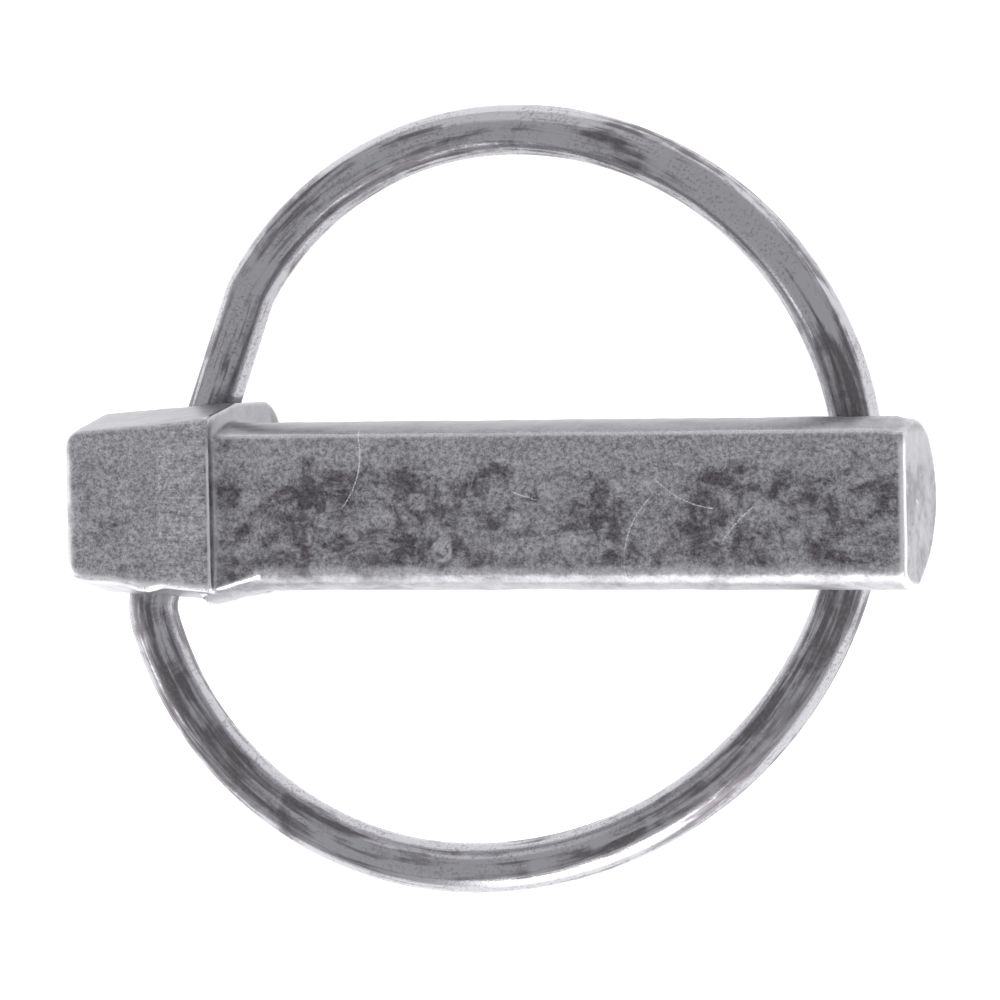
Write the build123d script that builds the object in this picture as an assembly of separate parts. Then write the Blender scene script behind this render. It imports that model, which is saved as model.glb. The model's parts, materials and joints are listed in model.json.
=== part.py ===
from build123d import *
import math
import os

# A lynch pin: a forged D-section pin with a block head, and a spring-wire ring whose two ends
# sit in one slanted bore through the head.
#
# Frame: the origin is where the shank's axis meets the head's shoulder. +X runs along the shank
# to its tip, +Z is the outward normal of the shank's flat, +Y completes the frame.

# --- Driving dimensions, in millimetres and degrees ---

# Shank
shank_diameter = 10.0
shank_length = 42.15
shank_thickness = 7.7  # from the round back to the flat
crisp_corner_radius = 0.3  # the flat's corner on the +Y side
soft_corner_radius = 1.2  # the flat's corner on the -Y side
tip_edge_radius = 0.25

# Head
head_length = 9.25
head_depth = 12.7
head_front_step = 0.8  # how far the head's front stands proud of the flat
head_shift_y = 0.2  # the head sits this far off the shank's axis
shoulder_height = 11.9
shoulder_front_height = 10.3
end_height = 10.7
end_front_height = 8.7
waist_drop = 5.0  # from the head's front to where its flanks are widest
back_corner_radius = 3.0
flank_corner_radius = 1.5
front_corner_radius = 0.5
end_corner_radius = 1.0
neck_fillet_radius = 0.5  # between the shoulder and the shank

# Bore through the head, for the ring's ends
wire_diameter = 3.0
bore_clearance = 0.06  # all round the wire
bore_slant = 20.0  # from +Y towards +X
bore_centre_x = -4.5
bore_depth = 7.5  # below the head's front
mouth_radius = 0.5  # rounding of the bore's two rims

# Ring
ring_far_radius = 24.4  # the side that rests behind the shank
ring_top_radius = 20.85
far_arc_start = -70.0
far_arc_end = 1.5
top_arc_sweep = 110.0
ring_centre_y = 2.4
ring_set_back = 4.8  # from the shank's tip to the wire's centre
ring_gap = 0.15  # between the wire and the shank's back
bend_radius = 3.0  # where the wire turns into the bore
bend_stand_off = 0.8  # from the bore's mouth to the corner of that turn
wire_end_gap = 1.6  # between the wire's two ends, inside the bore

# --- Places worked out from them ---

shank_radius = shank_diameter / 2
flat_z = shank_thickness - shank_radius
head_front_z = flat_z + head_front_step
head_back_z = head_front_z - head_depth
wire_radius = wire_diameter / 2
bore_radius = wire_radius + bore_clearance
bore_z = head_front_z - bore_depth
bore_centre = Vector(bore_centre_x, head_shift_y, bore_z)
slant = math.radians(bore_slant)
bore_direction = Vector(math.sin(slant), math.cos(slant), 0)
neck_reach = 1.02 * shank_radius  # what lies nearer the axis than this belongs to the shank


def shank():
    """The D-section bar, from inside the head to the sheared tip."""
    run_in = head_length / 2
    bar = Plane.YZ * Circle(shank_radius)
    flat_cut = Pos(0, 0, flat_z) * Box(
        4 * shank_length, 4 * shank_radius, 4 * shank_radius, align=(Align.CENTER, Align.CENTER, Align.MIN)
    )
    solid = extrude(bar, shank_length + run_in)
    solid = Pos(-run_in, 0, 0) * solid - flat_cut
    corners = solid.edges().filter_by(Axis.X).filter_by(lambda e: e.center().Z > flat_z - 0.01)
    corners = corners.sort_by(Axis.Y)
    solid = fillet(corners[0], soft_corner_radius)
    crisp = solid.edges().filter_by(Axis.X).sort_by(Axis.Y)[-1]
    solid = fillet(crisp, crisp_corner_radius)
    return fillet(solid.faces().sort_by(Axis.X)[-1].edges(), tip_edge_radius)


def head_section(x, front_height, full_height):
    """The head's outline across X: narrow at the front, widest at its waist, straight to the back."""
    waist_z = head_front_z - waist_drop
    outline = Polyline(
        (front_height / 2, head_front_z),
        (full_height / 2, waist_z),
        (full_height / 2, head_back_z),
        (-full_height / 2, head_back_z),
        (-full_height / 2, waist_z),
        (-front_height / 2, head_front_z),
        close=True,
    )
    return Plane.YZ.offset(x) * (Pos(head_shift_y, 0, 0) * make_face(outline))


def lengthwise(block, z):
    """The block's edges that run from its end to its shoulder at the height z."""
    return block.edges().filter_by(lambda e: abs((e % 0.5).X) > 0.7 and abs(e.center().Z - z) < 0.5)


def head():
    """The tapered block head, without its bore."""
    end = head_section(-head_length, end_front_height, end_height)
    shoulder = head_section(0, shoulder_front_height, shoulder_height)
    block = loft([end, shoulder], ruled=True)
    block = fillet(lengthwise(block, head_back_z), back_corner_radius)
    block = fillet(lengthwise(block, head_front_z - waist_drop), flank_corner_radius)
    end_edges = block.faces().sort_by(Axis.X)[0].edges().filter_by(lambda e: e.center().Z < head_front_z - 0.01)
    block = fillet(end_edges, end_corner_radius)
    front_edges = block.faces().sort_by(Axis.Z)[-1].edges().filter_by(lambda e: e.center().X < -0.01)
    return fillet(front_edges, front_corner_radius)


def bore():
    """The cutter for the slanted through-hole."""
    reach = shoulder_height
    plane = Plane(origin=bore_centre - bore_direction * reach, z_dir=bore_direction)
    return extrude(plane * Circle(bore_radius), 2 * reach)


def mouth_distance(body, direction):
    """How far the bore's centre is from where its axis leaves the head that way."""
    axis = Line(bore_centre, bore_centre + direction * (2 * shoulder_height))
    return sum(edge.length for edge in (body & axis).edges())


def on_rim(edge, reach):
    """Whether an edge goes round the bore's mouth that is this far along the bore's axis."""
    mouth = bore_centre + bore_direction * reach
    return (edge.center(CenterOf.BOUNDING_BOX) - mouth).length < bore_radius / 2


def pin_body():
    """The forged pin, and how far its bore reaches from its centre to each mouth."""
    block = head()
    top_reach = mouth_distance(block, bore_direction)
    bottom_reach = mouth_distance(block, -bore_direction)
    body = block + shank()
    on_shoulder = body.edges().filter_by(lambda e: abs(e.center().X) < 0.01)
    neck = on_shoulder.filter_by(lambda e: all(v.Y**2 + v.Z**2 < neck_reach**2 for v in e.vertices()))
    body = fillet(neck, neck_fillet_radius)
    body -= bore()
    rims = body.edges().filter_by(lambda e: on_rim(e, top_reach) or on_rim(e, -bottom_reach))
    return fillet(rims, mouth_radius), top_reach, bottom_reach


def ring_path(top_reach, bottom_reach):
    """The wire's centre line, drawn in the ring's own plane with the bore along its Y axis."""
    crossing_x = shank_length - ring_set_back
    crossing_z = -shank_radius - ring_gap - wire_radius
    across = (crossing_x - bore_centre.X) * math.cos(slant) + bore_centre.Y * math.sin(slant)
    lean = math.atan2(bore_z - crossing_z, across)
    outward = Vector(
        math.cos(lean) * math.cos(slant), -math.cos(lean) * math.sin(slant), -math.sin(lean)
    )
    plane = Plane(origin=bore_centre, x_dir=outward, z_dir=outward.cross(bore_direction))

    centre_x = crossing_x - ring_far_radius
    offset = Vector(centre_x - bore_centre.X, ring_centre_y - bore_centre.Y, 0)
    centre_u = (offset.X * math.cos(slant) - offset.Y * math.sin(slant)) / math.cos(lean)
    centre_v = offset.X * math.sin(slant) + offset.Y * math.cos(slant)

    top_corner = (0, top_reach + bend_stand_off)
    bottom_corner = (0, -bottom_reach - bend_stand_off)
    far = CenterArc((centre_u, centre_v), ring_far_radius, far_arc_start, far_arc_end - far_arc_start)
    top = JernArc(far @ 1, far % 1, ring_top_radius, top_arc_sweep)
    upper = TangentArc(top @ 1, top_corner, tangent=top % 1)
    lower = TangentArc(far @ 0, bottom_corner, tangent=-(far % 0))
    top_stub = Line(top_corner, (0, wire_end_gap / 2))
    bottom_stub = Line(bottom_corner, (0, -wire_end_gap / 2))
    line = Wire([bottom_stub.edge(), lower.edge(), far.edge(), top.edge(), upper.edge(), top_stub.edge()])
    corners = [v for v in line.vertices() if abs(v.X) < 0.001 and abs(v.Y) > wire_end_gap]
    return plane, fillet(corners, bend_radius)


def spring_ring(top_reach, bottom_reach):
    """The round wire, bent into a ring with its two straight ends in the bore."""
    plane, line = ring_path(top_reach, bottom_reach)
    path = plane * line
    section = Plane(origin=path @ 0, z_dir=path % 0) * Circle(wire_radius)
    return sweep(section, path=path)


body, top_reach, bottom_reach = pin_body()
ring = spring_ring(top_reach, bottom_reach)
os.makedirs("parts", exist_ok=True)
export_step(body, "parts/pin_body.step")
export_step(ring, "parts/spring_ring.step")
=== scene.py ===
import json
import math

import bmesh
import bpy
from bpy.props import FloatProperty, FloatVectorProperty, IntProperty, PointerProperty
from mathutils import Matrix, Vector, noise
from mathutils.bvhtree import BVHTree


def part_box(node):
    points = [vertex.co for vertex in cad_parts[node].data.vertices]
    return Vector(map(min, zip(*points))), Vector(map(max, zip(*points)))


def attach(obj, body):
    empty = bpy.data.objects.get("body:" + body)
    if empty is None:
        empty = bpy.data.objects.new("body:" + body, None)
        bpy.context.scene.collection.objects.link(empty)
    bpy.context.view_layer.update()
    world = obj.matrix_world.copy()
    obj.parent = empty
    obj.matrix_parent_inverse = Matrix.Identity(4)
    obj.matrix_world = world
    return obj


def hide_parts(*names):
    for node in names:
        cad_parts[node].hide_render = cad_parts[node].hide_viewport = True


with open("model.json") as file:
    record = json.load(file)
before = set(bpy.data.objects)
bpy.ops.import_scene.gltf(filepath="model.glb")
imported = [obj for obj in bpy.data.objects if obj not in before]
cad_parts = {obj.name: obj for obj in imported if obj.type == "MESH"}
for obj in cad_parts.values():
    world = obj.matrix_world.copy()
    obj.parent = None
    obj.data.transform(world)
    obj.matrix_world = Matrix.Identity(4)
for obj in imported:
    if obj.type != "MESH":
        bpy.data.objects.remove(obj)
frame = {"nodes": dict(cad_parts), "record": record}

bl_info = {
    "name": "Lynch pin",
    "version": (1, 0, 0),
    "blender": (4, 5, 0),
    "location": "View3D > Sidebar > Lynch pin",
    "description": "A zinc-plated lynch pin: the forged pin, its spring-wire ring and a plain studio",
    "category": "Object",
}

MM = 0.001  # one millimetre in scene units
PIN_LOW, PIN_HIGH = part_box("pin_body")
RING_LOW, RING_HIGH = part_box("spring_ring")
HINGE = next(joint for joint in frame["record"]["behaviour"]["joints"] if joint["name"] == "ring_hinge")
SHANK = next(mount for mount in frame["record"]["mounts"] if mount["name"] == "shank")
SHANK_RADIUS = SHANK["dims"]["r_mm"]


# --- Sizes and colours that a user would change ---


class PinSettings(bpy.types.PropertyGroup):
    cell: FloatProperty(name="Cell", description="Size of the forged skin's mesh", default=0.16 * MM, unit="LENGTH")
    unevenness: FloatProperty(
        name="Unevenness", description="How far the forged faces wander", default=0.05 * MM, unit="LENGTH"
    )
    ridge_height: FloatProperty(
        name="Ridge height", description="Height of the ridge across the head's front", default=0.16 * MM, unit="LENGTH"
    )
    flare_length: FloatProperty(
        name="Flare length", description="Length of the flare from the head to the shank", default=2.7 * MM, unit="LENGTH"
    )
    plating: FloatVectorProperty(
        name="Plating", description="Clean zinc on the pin", subtype="COLOR", default=(0.47, 0.465, 0.485)
    )
    stain: FloatVectorProperty(
        name="Stain", description="Dull patches on the pin", subtype="COLOR", default=(0.115, 0.098, 0.115)
    )


class RingSettings(bpy.types.PropertyGroup):
    wire_diameter: FloatProperty(name="Wire", description="Diameter of the wire", default=3.0 * MM, unit="LENGTH")
    sides: IntProperty(name="Sides", description="Faces round the wire", default=40)
    plating: FloatVectorProperty(
        name="Plating", description="Clean zinc on the wire", subtype="COLOR", default=(0.45, 0.445, 0.465)
    )
    stain: FloatVectorProperty(
        name="Stain", description="Dull streaks on the wire", subtype="COLOR", default=(0.085, 0.075, 0.082)
    )


class StudioSettings(bpy.types.PropertyGroup):
    side_angle: FloatProperty(
        name="Side angle", description="How far the camera leans towards the tip",
        subtype="ANGLE", default=math.radians(18.5),
    )
    rise_angle: FloatProperty(
        name="Rise angle", description="How far the camera leans towards +Y",
        subtype="ANGLE", default=math.radians(2.0),
    )
    roll: FloatProperty(name="Roll", description="Turn about the view", subtype="ANGLE", default=math.radians(-1.0))
    distance: FloatProperty(
        name="Distance", description="From the camera to the pin's flat", default=320 * MM, unit="LENGTH"
    )
    lens: FloatProperty(name="Lens", description="Focal length in millimetres", default=198.1)
    floor: FloatVectorProperty(
        name="Floor", description="Colour of the floor", subtype="COLOR", default=(0.93, 0.93, 0.935)
    )
    floor_glow: FloatProperty(name="Glow", description="Light that the floor gives off", default=0.85)
    overhead: FloatVectorProperty(
        name="Overhead", description="Colour of the room overhead", subtype="COLOR", default=(0.62, 0.62, 0.635)
    )


# --- Shader expressions ---


class Value:
    """A number socket that takes part in Python expressions; each operator adds one Math node."""

    def __init__(self, shader, socket):
        self.shader = shader
        self.socket = socket

    def math(self, operation, *others):
        made = self.shader.node("ShaderNodeMath", {"operation": operation})
        for socket, value in zip(made.inputs, (self, *others)):
            self.shader.feed(socket, value)
        return Value(self.shader, made.outputs[0])

    def flipped(self, operation, other):
        made = self.shader.node("ShaderNodeMath", {"operation": operation})
        self.shader.feed(made.inputs[0], other)
        self.shader.feed(made.inputs[1], self)
        return Value(self.shader, made.outputs[0])

    def __add__(self, other):
        return self.math("ADD", other)

    def __sub__(self, other):
        return self.math("SUBTRACT", other)

    def __mul__(self, other):
        return self.math("MULTIPLY", other)

    def __truediv__(self, other):
        return self.math("DIVIDE", other)

    def __rsub__(self, other):
        return self.flipped("SUBTRACT", other)

    def __rtruediv__(self, other):
        return self.flipped("DIVIDE", other)

    __radd__ = __add__
    __rmul__ = __mul__

    def __abs__(self):
        return self.math("ABSOLUTE")

    def between(self, low, high):
        """0 below low, 1 above high, and smooth in the middle."""
        made = self.shader.node(
            "ShaderNodeMapRange",
            {"interpolation_type": "SMOOTHSTEP"},
            {"Value": self, "From Min": low, "From Max": high},
        )
        return Value(self.shader, made.outputs["Result"])


class Shader:
    """One node tree; node() makes any node, and the rest are shorthands for it."""

    def __init__(self, tree):
        self.tree = tree
        tree.nodes.clear()

    def feed(self, socket, value):
        if isinstance(value, Value):
            value = value.socket
        if isinstance(value, bpy.types.NodeSocket):
            self.tree.links.new(value, socket)
        else:
            socket.default_value = value

    def node(self, kind, settings=None, inputs=None):
        made = self.tree.nodes.new(kind)
        for name, value in (settings or {}).items():
            setattr(made, name, value)
        for name, value in (inputs or {}).items():
            self.feed(made.inputs[name], value)
        return made

    def noise(self, place, scale, detail=3.0, rough=0.55, distortion=0.0):
        made = self.node(
            "ShaderNodeTexNoise",
            {"noise_dimensions": "3D"},
            {"Vector": place, "Scale": scale, "Detail": detail, "Roughness": rough, "Distortion": distortion},
        )
        return Value(self, made.outputs[0])

    def mix(self, share, first, second, blend="MIX"):
        made = self.node("ShaderNodeMix", {"data_type": "RGBA", "blend_type": blend})
        self.feed(made.inputs[0], share)
        self.feed(made.inputs[6], first)
        self.feed(made.inputs[7], second)
        return made.outputs[2]

    def grey(self, value):
        made = self.node("ShaderNodeCombineColor", {}, {"Red": value, "Green": value, "Blue": value})
        return made.outputs[0]

    def mapped(self, place, scale, location=(0, 0, 0), rotation=(0, 0, 0)):
        made = self.node(
            "ShaderNodeMapping",
            {"vector_type": "POINT"},
            {"Vector": place, "Scale": scale, "Location": location, "Rotation": rotation},
        )
        return made.outputs[0]

    def attribute(self, name, output="Fac"):
        made = self.node("ShaderNodeAttribute", {"attribute_name": name})
        return made.outputs[output]

    def parts(self, vector):
        made = self.node("ShaderNodeSeparateXYZ", {}, {"Vector": vector})
        return [Value(self, socket) for socket in made.outputs]

    def bump(self, height, strength, distance, normal=None):
        inputs = {"Height": height, "Strength": strength, "Distance": distance}
        if normal is not None:
            inputs["Normal"] = normal
        return self.node("ShaderNodeBump", {}, inputs).outputs[0]

    def surface(self, **inputs):
        named = {name.replace("_", " "): value for name, value in inputs.items()}
        metal = self.node("ShaderNodeBsdfPrincipled", {}, named)
        self.node("ShaderNodeOutputMaterial", {}, {"Surface": metal.outputs[0]})


def new_material(name):
    material = bpy.data.materials.new(name)
    material.use_nodes = True
    return material, Shader(material.node_tree)


def opaque(colour):
    return (*colour, 1.0)


# --- Finishes ---

HEAD_RIDGE = -3.2  # where the ridge crosses the head's front, from the shoulder
# Small round dents in the flat, in millimetres: x, y, radius, depth.
DENTS = (
    (14.3, -2.6, 0.55, 0.05),
    (12.8, 0.3, 0.45, 0.035),
    (10.9, -0.8, 0.5, 0.03),
    (2.9, -0.9, 0.5, 0.03),
    (18.8, -0.8, 0.4, 0.03),
    (20.7, 0.9, 0.5, 0.025),
    (22.0, -2.0, 0.6, 0.03),
    (26.8, 1.2, 0.45, 0.03),
    (31.8, 0.2, 0.5, 0.025),
    (35.6, -1.8, 0.45, 0.03),
)

# Hairline scratches on the flat, in millimetres: the centre they curve round, the radius, and the
# range along the shank in which they show.
SCRATCHES = (
    ((4.3, 3.2), 5.0, (8.0, 9.6)),
    ((30.6, -3.3), 5.2, (25.3, 27.2)),
    ((31.4, 5.4), 5.6, (27.2, 31.0)),
    ((22.0, 9.0), 8.8, (18.5, 20.3)),
    ((37.5, -6.0), 7.3, (31.2, 33.4)),
)
SCRATCH_WIDTH = 0.07


def scratches(shader, x, y):
    """Thin bright arcs, as the sum of one mask for each."""
    total = None
    for (centre_x, centre_y), radius, (start, stop) in SCRATCHES:
        from_x = x - centre_x
        from_y = y - centre_y
        away = (from_x * from_x + from_y * from_y).math("SQRT")
        line = 1 - abs(away - radius).between(0.2 * SCRATCH_WIDTH, SCRATCH_WIDTH)
        arc = line * x.between(start, start + 0.3) * (1 - x.between(stop - 0.3, stop))
        total = arc if total is None else total + arc
    return total


def painted_dent_highlights(shader, x, y):
    """Soft round painted highlights over the dents."""
    total = None
    for dent_x, dent_y, radius, _ in DENTS:
        from_x = x - dent_x
        from_y = y - dent_y
        away = (from_x * from_x + from_y * from_y).math("SQRT")
        painted_spot = 1 - away.between(0.5 * radius, 1.1 * radius)
        total = painted_spot if total is None else total + painted_spot
    return total


def zinc_forging(settings):
    """Mottled zinc over a forged skin, dull and grainy on the front and smoother on edges, with painted highlights on
    the edges, the head's facet and the dents, painted light on the upper flat and head, and painted shade on the upper
    flank and tip.
    """
    material, shader = new_material("zinc_forging")
    place = shader.mapped(shader.node("ShaderNodeTexCoord").outputs["Object"], (1000, 1000, 1000))
    x, y, z = shader.parts(place)
    front = Value(shader, shader.attribute("front"))
    edge = Value(shader, shader.attribute("edge"))

    clouds = shader.noise(place, 0.28, 4.0, 0.6, 0.6)
    blotches = shader.noise(shader.mapped(place, (1, 1, 1), (7, 3, 5)), 0.9, 6.0, 0.7, 0.5)
    speckle = shader.noise(place, 3.4, 6.0, 0.8)
    grain = shader.noise(shader.mapped(place, (1, 1, 1), (1, 8, 2)), 9.0, 4.0, 0.7)
    film = shader.noise(shader.mapped(place, (0.6, 1.2, 1), (2, 9, 1)), 0.55, 5.0, 0.65, 0.6)
    brushed = shader.noise(shader.mapped(place, (0.35, 7.0, 1)), 1.0, 4.0, 0.7)

    on_flat = z.between(SHANK_RADIUS * 0.4, SHANK_RADIUS * 0.5) * x.between(0.0, 0.4)
    lit_facet = x.between(HEAD_RIDGE - 0.15, HEAD_RIDGE + 0.15) * (1 - x.between(-0.5, -0.1)) * front
    # Painted light: the flat is lighter towards its upper (+Y) edge and a little near its lower edge, and the head is a
    # little lighter. This thins the real stain and thickens the pale film there.
    upper = y.between(1.2, 3.7) * 0.10 + (1 - y.between(-4.0, -2.8)) * 0.04 + (1 - x.between(-0.4, -0.1)) * 0.05
    stain_and_painted_light = (blotches * 0.55 + clouds * 0.45 - upper).between(0.42, 0.58) * (0.5 + 0.5 * front)
    film_and_painted_light = (film + upper).between(0.48, 0.62) * 0.6
    bare = (speckle * 0.65 + grain * 0.35).between(0.40, 0.60)
    marks = scratches(shader, x, y) * on_flat * grain.between(0.40, 0.52) * 0.7
    dent_highlight = painted_dent_highlights(shader, x, y) * on_flat * speckle.between(0.38, 0.55)

    colour = shader.mix(stain_and_painted_light * 0.85, opaque(settings.plating), opaque(settings.stain))
    colour = shader.mix(film_and_painted_light, colour, opaque((0.56, 0.555, 0.58)))
    # Painted highlight on the head's facet between the ridge and the shoulder, broken up by brushed scratch marks.
    colour = shader.mix(lit_facet * brushed.between(0.38, 0.62) * 0.7, colour, opaque((0.72, 0.715, 0.74)))
    # Painted shade: the upper (+Y) flank and the tip's end face are made darker. The grain below darkens the speckle,
    # which is the zinc's own texture.
    painted_side_shade = y.between(3.9, 4.5) * (1 - front) * 0.32 + x.between(41.8, 42.1) * 0.22
    shade = (1 - (1 - bare) * (0.25 + 0.35 * front)) * (1 - painted_side_shade)
    colour = shader.mix(1.0, colour, shader.grey(shade), "MULTIPLY")
    # Painted highlight: the dents are made lighter in colour.
    colour = shader.mix(dent_highlight * 0.4, colour, opaque((0.60, 0.59, 0.61)))
    # Painted highlight along the edges, weaker on the upper (+Y) edge, together with the bright scratch marks, which
    # are real wear.
    edge_highlight_and_scratches = (edge * (0.35 + 0.65 * (1 - y.between(3.0, 4.0))) + marks).between(0.05, 1.0)
    colour = shader.mix(edge_highlight_and_scratches, colour, opaque((0.74, 0.74, 0.75)))

    rough = 0.30 + 0.16 * stain_and_painted_light + 0.10 * bare - 0.14 * edge + 0.06 * front
    height = speckle * 0.8 + grain * 0.3 + blotches * 0.5 - marks * 0.5
    normal = shader.bump(height * (0.3 + 0.7 * front), 0.5, 0.07 * MM)
    shader.surface(Base_Color=colour, Metallic=1.0, Roughness=rough, Normal=normal)
    return material


def zinc_wire(settings):
    """Drawn wire under zinc: streaks along the wire, dull patches and small pits."""
    material, shader = new_material("zinc_wire")
    place = shader.mapped(shader.node("ShaderNodeTexCoord").outputs["Object"], (1000, 1000, 1000))
    lay = shader.attribute("lay", "Vector")

    long_streaks = shader.noise(shader.mapped(lay, (1.6, 1.6, 0.07)), 1.0, 4.0, 0.6, 0.3)
    fine_streaks = shader.noise(shader.mapped(lay, (6.0, 6.0, 0.25), (3, 1, 2)), 1.0, 4.0, 0.6, 0.2)
    patches = shader.noise(place, 0.35, 4.0, 0.6, 0.8)
    speckle = shader.noise(place, 5.5, 3.0, 0.6)

    dull = (long_streaks * 0.5 + fine_streaks * 0.25 + patches * 0.25).between(0.47, 0.58)
    pits = (1 - speckle.between(0.36, 0.50)) * patches.between(0.36, 0.54)
    colour = shader.mix(dull * 0.85, opaque(settings.plating), opaque(settings.stain))
    colour = shader.mix(pits * 0.6, colour, opaque((0.22, 0.20, 0.21)))
    rough = 0.20 + 0.16 * dull + 0.12 * pits
    height = fine_streaks * 0.8 + speckle * 0.5 * patches
    normal = shader.bump(height, 0.4, 0.04 * MM)
    shader.surface(Base_Color=colour, Metallic=1.0, Roughness=rough, Normal=normal)
    return material


# --- The forged pin ---

def smooth_step(low, high, value):
    share = min(1.0, max(0.0, (value - low) / (high - low)))
    return share * share * (3 - 2 * share)


def merged_copy(node_name):
    """A bmesh of a node of the frame, with its loose triangles joined."""
    bm = bmesh.new()
    bm.from_mesh(frame["nodes"][node_name].data)
    bmesh.ops.remove_doubles(bm, verts=bm.verts, dist=0.0005 * MM)
    return bm


def add_flare(bm, length):
    """The short cone that eases the head into the shank, cut off level with the flat."""
    flare = bmesh.new()
    deep = 1.0 * MM
    turn = Matrix.Rotation(math.radians(90), 4, "Y")
    middle = Matrix.Translation((length / 2 - deep / 2, -0.4 * MM, 0))
    bmesh.ops.create_cone(
        flare, cap_ends=True, segments=96, radius1=(SHANK_RADIUS + 0.5) * MM, radius2=(SHANK_RADIUS - 0.45) * MM,
        depth=length + deep, matrix=middle @ turn,
    )
    flat_z = 2.72 * MM
    cut = bmesh.ops.bisect_plane(
        flare, geom=flare.verts[:] + flare.edges[:] + flare.faces[:], plane_co=(0, 0, flat_z), plane_no=(0, 0, 1),
        clear_outer=True,
    )
    edges = [item for item in cut["geom_cut"] if isinstance(item, bmesh.types.BMEdge)]
    bmesh.ops.contextual_create(flare, geom=edges)
    held = bpy.data.meshes.new("flare")
    flare.to_mesh(held)
    flare.free()
    bm.from_mesh(held)
    bpy.data.meshes.remove(held)


def smooth(bm):
    bmesh.ops.smooth_vert(bm, verts=bm.verts, factor=0.5, use_axis_x=True, use_axis_y=True, use_axis_z=True)


def voxel_skin(bm, cell):
    """The bmesh as one even closed skin of small cells, drawn back onto the shape."""
    plain = BVHTree.FromBMesh(bm)
    mesh = bpy.data.meshes.new("raw_forging")
    bm.to_mesh(mesh)
    bm.free()
    raw = bpy.data.objects.new("raw_forging", mesh)
    bpy.context.scene.collection.objects.link(raw)
    remesh = raw.modifiers.new("skin", "REMESH")
    remesh.mode = "VOXEL"
    remesh.voxel_size = cell
    skin = bpy.data.meshes.new_from_object(raw.evaluated_get(bpy.context.evaluated_depsgraph_get()))
    bpy.data.objects.remove(raw)
    bpy.data.meshes.remove(mesh)
    made = bmesh.new()
    made.from_mesh(skin)
    bpy.data.meshes.remove(skin)
    for _ in range(3):
        smooth(made)
    for vert in made.verts:
        vert.co = plain.find_nearest(vert.co)[0]
    smooth(made)
    return made


def forge(point, normal, settings):
    """Where a point of the plain shape lies on the forged one. Everything here is in millimetres."""
    x, y, z = point
    uneven = settings.unevenness / MM
    moved = point.copy()
    wander = noise.noise(point * 0.35) + 0.5 * noise.noise(point * 0.9 + Vector((5, 1, 3)))
    moved += normal * (wander * uneven)
    front = max(0.0, normal.z)
    if x < -0.1 and z > 2.6:
        if x < HEAD_RIDGE:
            rise = 1 - (HEAD_RIDGE - x) / (HEAD_RIDGE - PIN_LOW.x / MM)
        else:
            rise = 1 + (HEAD_RIDGE - x) / abs(HEAD_RIDGE) * 1.3
        moved.z += (rise - 0.75) * settings.ridge_height / MM * front
    swell = (Vector((x, y, z)) - Vector((-4.3, -4.7, 3.1))).length
    moved += Vector((0, -0.25, 0.05)) * (1 - smooth_step(0.2, 1.5, swell))
    for dent_x, dent_y, radius, depth in DENTS:
        away = math.hypot(x - dent_x, y - dent_y)
        if z > 2.3 and away < 1.3 * radius:
            moved.z -= depth * (1 - smooth_step(0.4 * radius, radius, away))
            moved.z += 0.3 * depth * smooth_step(0.8 * radius, radius, away)
            moved.z -= 0.3 * depth * smooth_step(radius, 1.3 * radius, away)
    tip = smooth_step(36.0, 41.5, x)
    lean = Vector((0, y, z)).normalized().dot(Vector((0, -0.72, -0.69)))
    moved += Vector((0, 0.72, 0.69)) * (0.42 * tip * smooth_step(0.72, 1.0, lean))
    crushed = smooth_step(40.9, 41.6, x) * smooth_step(3.2, 4.8, y)
    moved.y -= 0.16 * crushed
    return moved


def store_masks(bm):
    """Keeps how far each point faces the front, and how far it stands out as an edge."""
    front = bm.verts.layers.float.new("front")
    edge = bm.verts.layers.float.new("edge")
    bm.normal_update()
    sharp = {}
    for vert in bm.verts:
        middle = sum((e.other_vert(vert).co for e in vert.link_edges), Vector()) / len(vert.link_edges)
        sharp[vert] = max(0.0, (vert.co - middle).dot(vert.normal)) / (0.012 * MM)
        vert[front] = smooth_step(0.75, 0.95, vert.normal.z)
    for vert in bm.verts:
        around = [sharp[e.other_vert(vert)] for e in vert.link_edges]
        vert[edge] = min(1.0, (sharp[vert] + sum(around)) / (1 + len(around)))


def finished(bm, name, material):
    """A smooth-shaded object at the origin, made from the bmesh."""
    mesh = bpy.data.meshes.new(name)
    bm.to_mesh(mesh)
    bm.free()
    mesh.shade_smooth()
    mesh.materials.append(material)
    made = bpy.data.objects.new(name, mesh)
    bpy.context.scene.collection.objects.link(made)
    return made


class LYNCHPIN_OT_forged_pin(bpy.types.Operator):
    """Makes the forged pin: the head, the D-section shank and its uneven skin"""

    bl_idname = "lynchpin.forged_pin"
    bl_label = "Forged pin"

    def execute(self, context):
        settings = context.scene.lynch_pin
        plain = merged_copy("pin_body")
        add_flare(plain, settings.flare_length)
        skin = voxel_skin(plain, settings.cell)
        skin.normal_update()
        forged = [forge(vert.co / MM, vert.normal, settings) for vert in skin.verts]
        for vert, place in zip(skin.verts, forged):
            vert.co = place * MM
        store_masks(skin)
        pin = finished(skin, "forged_pin", zinc_forging(settings))
        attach(pin, "pin")
        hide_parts("pin_body")
        return {"FINISHED"}


# --- The spring-wire ring ---

# The ring's centre line in its own plane, in millimetres and degrees: the bore's axis is the line
# u = 0, and v runs along it. All its arcs turn the same way.
FAR_RADIUS, FAR_START, FAR_END = 24.4, -70.0, 1.5
TOP_RADIUS, TOP_SWEEP = 20.85, 110.0
FAR_CENTRE_Y = 2.4
CROSSING_SET_BACK = 4.8
RING_GAP = 0.15
BEND_RADIUS = 3.0
TOP_CORNER, BOTTOM_CORNER = 6.967, -6.682
END_HALF_GAP = 0.8
WIRE_STEP = 0.45


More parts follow.
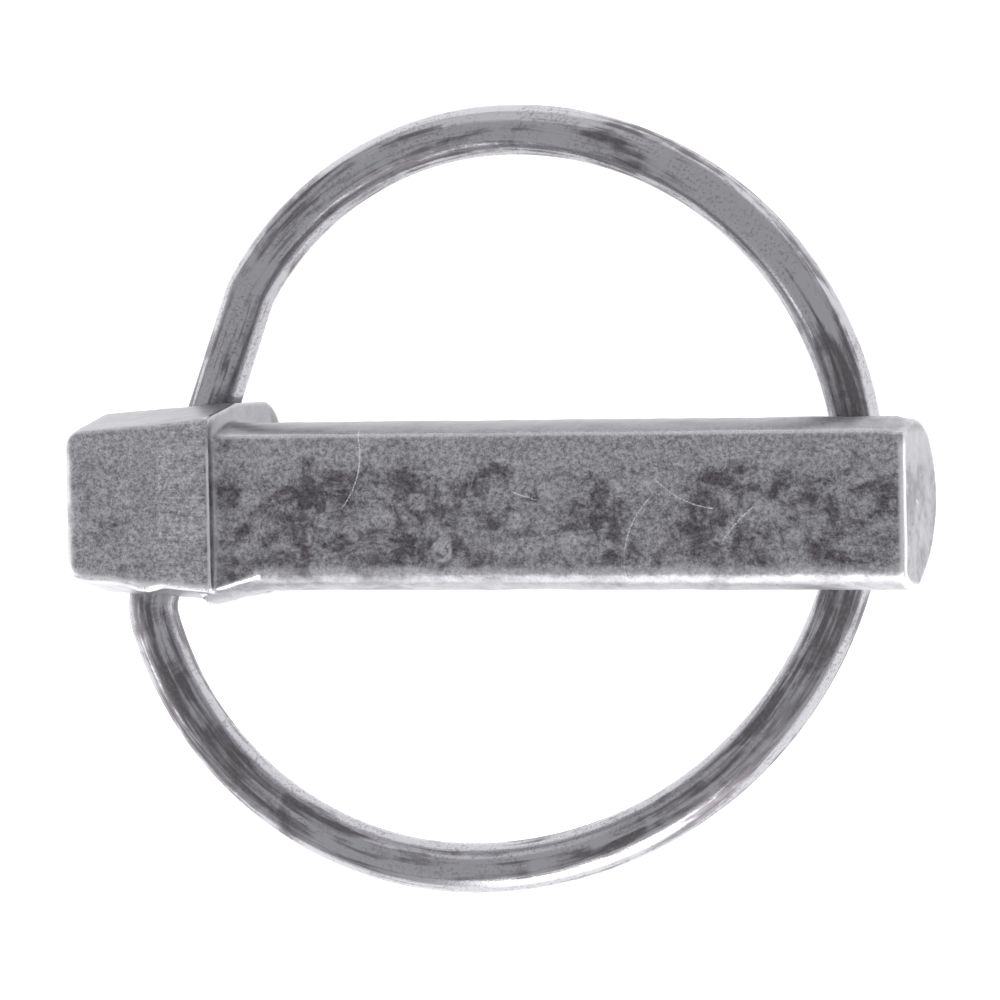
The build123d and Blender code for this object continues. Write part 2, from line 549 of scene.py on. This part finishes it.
class RoundWire:
    """A round wire grown arc by arc from one end. Each point keeps its lay: where it is round the
    wire, and how far along."""

    def __init__(self, radius, sides, place):
        self.place = place
        self.normal = place.to_3x3() @ Vector((0, 0, 1))
        self.run = 0.0
        self.bm = bmesh.new()
        self.lay = self.bm.verts.layers.float_vector.new("lay")
        start = place @ Matrix.Translation((0, -END_HALF_GAP * MM, 0)) @ Matrix.Rotation(math.radians(90), 4, "X")
        made = bmesh.ops.create_circle(self.bm, cap_ends=True, radius=radius, segments=sides, matrix=start)
        back = start.inverted()
        for vert in made["verts"]:
            local = (back @ vert.co) / radius
            vert[self.lay] = Vector((local.x, local.y, 0))
        self.front = list({edge for vert in made["verts"] for edge in vert.link_edges})

    def grow(self, length, centre=(0, 0, 0), angle=0.0, shift=(0, 0, 0)):
        steps = max(2, round(length / WIRE_STEP))
        for _ in range(steps):
            made = bmesh.ops.spin(
                self.bm, geom=self.front, cent=centre, axis=self.normal, angle=angle / steps,
                dvec=Vector(shift) / steps, steps=1, use_duplicate=False,
            )
            self.front = [item for item in made["geom_last"] if isinstance(item, bmesh.types.BMEdge)]
            self.run += length / steps
            for vert in {vert for edge in self.front for vert in edge.verts}:
                kept = vert[self.lay]
                vert[self.lay] = Vector((kept.x, kept.y, self.run))

    def straight(self, length):
        self.grow(abs(length), shift=self.place.to_3x3() @ Vector((0, length * MM, 0)))

    def arc(self, centre, radius, start, stop):
        sweep = (stop - start) % math.tau
        self.grow(sweep * radius, self.place @ (centre.to_3d() * MM), sweep)

    def closed(self):
        bmesh.ops.contextual_create(self.bm, geom=self.front)
        bmesh.ops.recalc_face_normals(self.bm, faces=self.bm.faces)
        return self.bm


def polar(angle, radius):
    return Vector((math.cos(angle), math.sin(angle))) * radius


def angle_of(vector):
    return math.atan2(vector.y, vector.x)


def left_of(vector):
    return Vector((-vector.y, vector.x))


def arc_to(start, tangent, end):
    """The centre and radius of the arc that leaves start along tangent and reaches end."""
    chord = end - start
    radius = chord.length_squared / (2 * chord.dot(left_of(tangent)))
    return start + left_of(tangent) * radius, abs(radius)


def bend_between(centre, radius, side):
    """The centre of the bend that touches the line u = 0 and the arc from inside."""
    drop = math.sqrt((radius - BEND_RADIUS) ** 2 - (BEND_RADIUS - centre.x) ** 2)
    return Vector((BEND_RADIUS, centre.y + side * drop))


def ring_plane():
    """The ring's plane at rest, and the centre of its far arc in it."""
    pivot = Vector(HINGE["pos_m"]) / MM
    along = Vector(HINGE["axis"]).normalized()
    flat_out = Vector((along.y, -along.x, 0))
    wire_radius = bpy.context.scene.lynch_ring.wire_diameter / 2 / MM
    crossing = Vector((SHANK["dims"]["length_mm"] - CROSSING_SET_BACK, 0, -SHANK_RADIUS - RING_GAP - wire_radius))
    across = (crossing - pivot).dot(flat_out)
    lean = math.atan2(pivot.z - crossing.z, across)
    outward = flat_out * math.cos(lean) - Vector((0, 0, math.sin(lean)))
    normal = outward.cross(along)
    place = Matrix.Translation(pivot * MM) @ Matrix((outward, along, normal)).transposed().to_4x4()
    offset = Vector((crossing.x - FAR_RADIUS - pivot.x, FAR_CENTRE_Y - pivot.y, 0))
    return place, Vector((offset.dot(flat_out) / math.cos(lean), offset.dot(along)))


class LYNCHPIN_OT_spring_ring(bpy.types.Operator):
    """Makes the spring-wire ring, from one end in the bore round to the other"""

    bl_idname = "lynchpin.spring_ring"
    bl_label = "Spring ring"

    def execute(self, context):
        settings = context.scene.lynch_ring
        place, far = ring_plane()
        far_start, far_end = math.radians(FAR_START), math.radians(FAR_END)
        top_end = far_end + math.radians(TOP_SWEEP)
        top = far + polar(far_end, FAR_RADIUS - TOP_RADIUS)
        low_point = far + polar(far_start, FAR_RADIUS)
        high_point = top + polar(top_end, TOP_RADIUS)
        lower, lower_radius = arc_to(low_point, -left_of(polar(far_start, 1)), Vector((0, BOTTOM_CORNER)))
        upper, upper_radius = arc_to(high_point, left_of(polar(top_end, 1)), Vector((0, TOP_CORNER)))
        low_bend = bend_between(lower, lower_radius, -1)
        high_bend = bend_between(upper, upper_radius, 1)

        wire = RoundWire(settings.wire_diameter / 2, settings.sides, place)
        wire.straight(low_bend.y + END_HALF_GAP)
        wire.arc(low_bend, BEND_RADIUS, math.pi, angle_of(low_bend - lower))
        wire.arc(lower, lower_radius, angle_of(low_bend - lower), angle_of(low_point - lower))
        wire.arc(far, FAR_RADIUS, far_start, far_end)
        wire.arc(top, TOP_RADIUS, far_end, top_end)
        wire.arc(upper, upper_radius, angle_of(high_point - upper), angle_of(high_bend - upper))
        wire.arc(high_bend, BEND_RADIUS, angle_of(high_bend - upper), math.pi)
        wire.straight(END_HALF_GAP - high_bend.y)

        ring = finished(wire.closed(), "wire_ring", zinc_wire(settings))
        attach(ring, "ring")
        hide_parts("spring_ring")
        return {"FINISHED"}


# --- The studio ---

# Soft lights: where each stands from the pin's middle, its width, and its power.
LIGHTS = (
    ("key", (-0.10, 0.42, 0.20), 0.34, 0.15),
    ("fill", (0.06, -0.46, 0.12), 0.30, 1.6),
    ("end", (-0.42, -0.10, 0.16), 0.22, 0.35),
)


def floor_material(settings):
    material, shader = new_material("pale_floor")
    shader.surface(
        Base_Color=opaque(settings.floor), Roughness=0.8,
        Emission_Color=opaque(settings.floor), Emission_Strength=settings.floor_glow,
    )
    return material


def add_floor(settings):
    bm = bmesh.new()
    level = Matrix.Translation((0, 0, PIN_LOW.z - 0.1 * MM))
    bmesh.ops.create_grid(bm, x_segments=1, y_segments=1, size=1.5, matrix=level)
    floor = finished(bm, "floor", floor_material(settings))


def add_light(name, offset, width, power, middle):
    light = bpy.data.lights.new(name, "AREA")
    light.shape = "SQUARE"
    light.size = width
    light.energy = power
    lamp = bpy.data.objects.new(name, light)
    lamp.location = middle + Vector(offset)
    lamp.rotation_euler = Vector(offset).to_track_quat("Z", "Y").to_euler()
    bpy.context.scene.collection.objects.link(lamp)


def add_camera(settings, target):
    side, rise = settings.side_angle, settings.rise_angle
    towards = Vector((math.sin(side) * math.cos(rise), math.sin(rise), math.cos(side) * math.cos(rise)))
    right = Vector((0, 1, 0)).cross(towards).normalized()
    turned = Matrix((right, towards.cross(right), towards)).transposed().to_4x4()
    data = bpy.data.cameras.new("camera")
    data.lens = settings.lens
    camera = bpy.data.objects.new("camera", data)
    roll = Matrix.Rotation(settings.roll, 4, "Z")
    camera.matrix_world = Matrix.Translation(target + towards * settings.distance) @ turned @ roll
    bpy.context.scene.collection.objects.link(camera)
    bpy.context.scene.camera = camera


class LYNCHPIN_OT_studio(bpy.types.Operator):
    """Makes the floor, the soft lights and the camera"""

    bl_idname = "lynchpin.studio"
    bl_label = "Studio"

    def execute(self, context):
        settings = context.scene.lynch_studio
        middle = Vector((PIN_LOW.x + PIN_HIGH.x, PIN_LOW.y + PIN_HIGH.y, PIN_LOW.z + PIN_HIGH.z)) / 2
        add_floor(settings)
        for name, offset, width, power in LIGHTS:
            add_light(name, offset, width, power, middle)
        target = Vector((17.92, 0.395, 2.7)) * MM
        add_camera(settings, target)
        world = bpy.data.worlds.new("studio")
        world.use_nodes = True
        back = world.node_tree.nodes["Background"]
        back.inputs["Color"].default_value = opaque(settings.overhead)
        back.inputs["Strength"].default_value = 1.0
        context.scene.world = world
        context.scene.view_settings.view_transform = "Standard"
        return {"FINISHED"}


class LYNCHPIN_PT_build(bpy.types.Panel):
    """Lists what the add-on makes, in the order it is made"""

    bl_idname = "LYNCHPIN_PT_build"
    bl_label = "Lynch pin"
    bl_space_type = "VIEW_3D"
    bl_region_type = "UI"
    bl_category = "Lynch pin"

    def draw(self, context):
        for operator in (LYNCHPIN_OT_forged_pin, LYNCHPIN_OT_spring_ring, LYNCHPIN_OT_studio):
            self.layout.operator(operator.bl_idname)


CLASSES = (
    PinSettings,
    RingSettings,
    StudioSettings,
    LYNCHPIN_OT_forged_pin,
    LYNCHPIN_OT_spring_ring,
    LYNCHPIN_OT_studio,
    LYNCHPIN_PT_build,
)


def register():
    for cls in CLASSES:
        bpy.utils.register_class(cls)
    bpy.types.Scene.lynch_pin = PointerProperty(type=PinSettings)
    bpy.types.Scene.lynch_ring = PointerProperty(type=RingSettings)
    bpy.types.Scene.lynch_studio = PointerProperty(type=StudioSettings)


def unregister():
    del bpy.types.Scene.lynch_studio
    del bpy.types.Scene.lynch_ring
    del bpy.types.Scene.lynch_pin
    for cls in reversed(CLASSES):
        bpy.utils.unregister_class(cls)


def main():
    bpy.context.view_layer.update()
    register()
    bpy.ops.lynchpin.forged_pin()
    bpy.ops.lynchpin.spring_ring()
    bpy.ops.lynchpin.studio()


if __name__ == "__main__":
    main()
